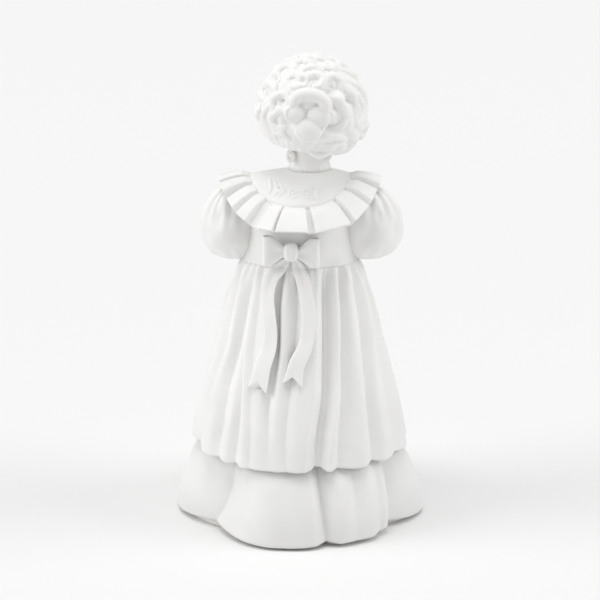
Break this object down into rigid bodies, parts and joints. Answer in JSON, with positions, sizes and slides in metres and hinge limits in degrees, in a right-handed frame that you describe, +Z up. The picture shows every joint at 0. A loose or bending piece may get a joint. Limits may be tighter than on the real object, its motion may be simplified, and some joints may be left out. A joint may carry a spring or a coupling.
{
  "type": "porcelain figurine",
  "caption": "Matte white bisque porcelain figurine of a little girl standing in a long tiered gown, with curled hair, a pleated collar, puffed sleeves and a ribbon bow at the back.",
  "frame": {"origin": "centre of the flat foot face that she stands on", "axes": "+Z up through the head, +Y the way she faces, +X towards her right hand"},
  "size_m": [0.0919, 0.0908, 0.1709],
  "materials": {
    "bisque_dress": "matte",
    "bisque_skin": "matte",
    "bisque_hair": "matte",
    "bisque_ribbon": "matte",
    "raw_foot": "matte"
  },
  "bodies": {
    "root": {"foot_plate": "raw_foot", "underskirt": "bisque_dress", "overskirt": "bisque_dress", "bodice": "bisque_dress", "yoke": "bisque_dress", "collar_ruffle": "bisque_dress", "sleeve_left": "bisque_dress", "sleeve_right": "bisque_dress", "cuff_left": "bisque_dress", "cuff_right": "bisque_dress", "forearm_left": "bisque_skin", "forearm_right": "bisque_skin", "head": "bisque_skin", "hair_cap": "bisque_hair", "hair_curls": "bisque_hair", "chignon": "bisque_hair", "nape_curls": "bisque_hair", "bow_knot": "bisque_ribbon", "bow_loop_left": "bisque_ribbon", "bow_loop_right": "bisque_ribbon", "ribbon_tail_left": "bisque_ribbon", "ribbon_tail_right": "bisque_ribbon"}
  },
  "joints": []
}
